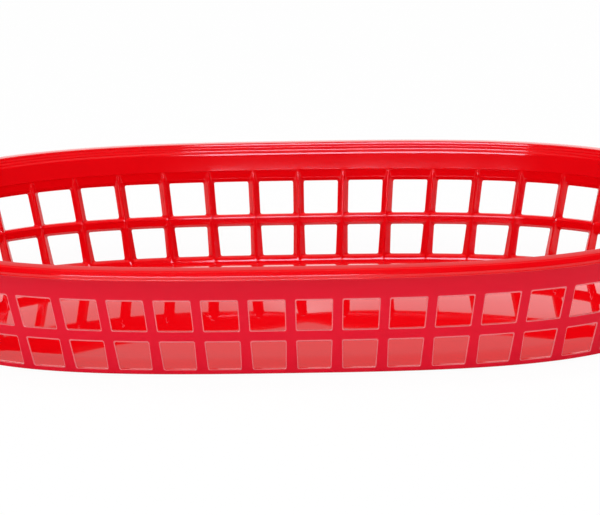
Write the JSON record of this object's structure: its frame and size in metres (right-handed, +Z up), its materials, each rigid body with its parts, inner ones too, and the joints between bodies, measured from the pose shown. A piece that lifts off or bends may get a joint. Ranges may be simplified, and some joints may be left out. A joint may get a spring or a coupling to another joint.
{
  "type": "food serving basket",
  "caption": "Shallow oval openwork basket with a flared wall, two rows of near-square openings, a plain upper band, a flanged rim and a solid floor, for serving food.",
  "frame": {"origin": "middle of the level band that the basket stands on", "axes": "+X along the long axis of the oval, +Y across it, +Z up out of the mouth"},
  "size_m": [0.2666, 0.1778, 0.0381],
  "materials": {
    "red_plastic": "glossy moulded polypropylene, a little satin on the outer wall"
  },
  "bodies": {
    "root": {"floor_panel": "red_plastic", "lower_row": "red_plastic", "upper_row": "red_plastic", "upper_band": "red_plastic", "rim": "red_plastic"}
  },
  "joints": []
}
